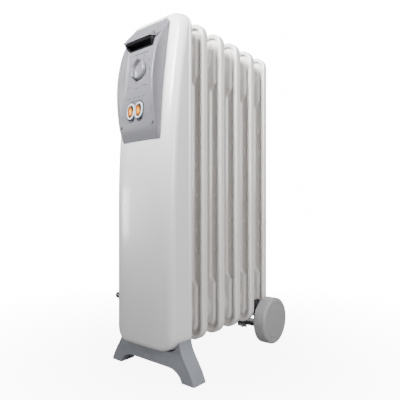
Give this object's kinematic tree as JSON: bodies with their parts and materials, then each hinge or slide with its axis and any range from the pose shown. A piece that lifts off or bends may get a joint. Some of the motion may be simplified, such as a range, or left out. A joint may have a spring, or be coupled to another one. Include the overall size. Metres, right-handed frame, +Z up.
{
  "type": "oil filled radiator heater",
  "caption": "Upright portable room heater: ribbed steel oil radiator on a splayed front foot and rear wheels, with a white hood carrying a tilted dial and rocker switch panel.",
  "frame": {"origin": "centre of the heater's bounding box at floor level", "axes": "+Z up, the control panel faces -Y, the rear wheels are at +Y and turn about X"},
  "size_m": [0.2112, 0.3723, 0.64],
  "materials": {
    "fin_enamel": "satin white stove enamel",
    "cover_enamel": "satin white stove enamel",
    "grey_plastic": "fine satin",
    "foot_plastic": "fine satin",
    "wheel_plastic": "fine satin",
    "knob_plastic": "satin silver-grey",
    "black_plastic": "satin",
    "dial_print": "printed satin",
    "bezel_plastic": "gloss",
    "amber_lens": "translucent amber",
    "bright_steel": "zinc plated",
    "brass_fitting": "turned",
    "gasket_fibre": "fibre",
    "element_sheath": "annealed",
    "ivory_ceramic": "moulded",
    "lead_sleeve": "braided sleeve",
    "pad_rubber": "matte",
    "black_paint": "semi-gloss black",
    "plate_foil": "satin foil"
  },
  "bodies": {
    "heater": {"fin_1_front_shell": "fin_enamel", "fin_1_rear_shell": "fin_enamel", "fin_2_front_shell": "fin_enamel", "fin_2_rear_shell": "fin_enamel", "fin_3_front_shell": "fin_enamel", "fin_3_rear_shell": "fin_enamel", "fin_4_front_shell": "fin_enamel", "fin_4_rear_shell": "fin_enamel", "fin_5_front_shell": "fin_enamel", "fin_5_rear_shell": "fin_enamel", "fin_6_front_shell": "fin_enamel", "fin_6_rear_shell": "fin_enamel", "header_collars_lower": "fin_enamel", "header_collars_upper": "fin_enamel", "header_caps": "fin_enamel", "oil_fill_rivet": "bright_steel", "element_flange": "brass_fitting", "element_gasket": "gasket_fibre", "element_tubes": "element_sheath", "element_terminals": "bright_steel", "front_cover": "cover_enamel", "cover_tabs": "cover_enamel", "heat_shield": "bright_steel", "control_fascia": "grey_plastic", "fascia_screws": "bright_steel", "grip_insert": "black_plastic", "dial_plate": "dial_print", "thermostat_bush": "brass_fitting", "thermostat_bracket": "bright_steel", "thermostat_body": "ivory_ceramic", "spade_terminals": "brass_fitting", "switch_bezel": "bezel_plastic", "switch_housing_left": "black_plastic", "switch_housing_right": "black_plastic", "thermal_cutout": "ivory_ceramic", "cutout_strap": "bright_steel", "terminal_block": "ivory_ceramic", "inner_leads": "lead_sleeve", "cord_gland": "black_plastic", "gland_nut": "black_plastic", "cord_clamp": "black_plastic", "front_foot": "foot_plastic", "foot_pads": "pad_rubber", "foot_bolts": "bright_steel", "foot_nuts": "bright_steel", "axle_bracket": "black_paint", "u_bolt": "bright_steel", "wing_nuts": "bright_steel", "stub_axles": "bright_steel", "axle_washers": "bright_steel", "axle_clips": "bright_steel", "rating_plate": "plate_foil"},
    "knob": {"control_knob": "knob_plastic", "knob_spindle": "bright_steel"},
    "switch_left": {"rocker_left": "amber_lens"},
    "switch_right": {"rocker_right": "amber_lens"},
    "left_wheel": {"wheel_left_rim": "wheel_plastic", "wheel_left_cap": "wheel_plastic"},
    "right_wheel": {"wheel_right_rim": "wheel_plastic", "wheel_right_cap": "wheel_plastic"}
  },
  "joints": [
    {"name": "knob_turn", "type": "hinge", "parent": "heater", "child": "knob", "pos_m": [0, -0.17189, 0.5365], "axis": [0, 0.9921, -0.1253], "range_deg": [-163, 107]},
    {"name": "switch_left_rock", "type": "hinge", "parent": "heater", "child": "switch_left", "pos_m": [-0.01, -0.17615, 0.46287], "axis": [1, 0, 0], "range_deg": [-16, 0]},
    {"name": "switch_right_rock", "type": "hinge", "parent": "heater", "child": "switch_right", "pos_m": [0.01, -0.17615, 0.46287], "axis": [1, 0, 0], "range_deg": [-16, 0]},
    {"name": "left_wheel_roll", "type": "hinge", "parent": "heater", "child": "left_wheel", "pos_m": [-0.0865, 0.13644, 0.0497], "axis": [1, 0, 0], "continuous": true},
    {"name": "right_wheel_roll", "type": "hinge", "parent": "heater", "child": "right_wheel", "pos_m": [0.0865, 0.13644, 0.0497], "axis": [1, 0, 0], "continuous": true}
  ]
}
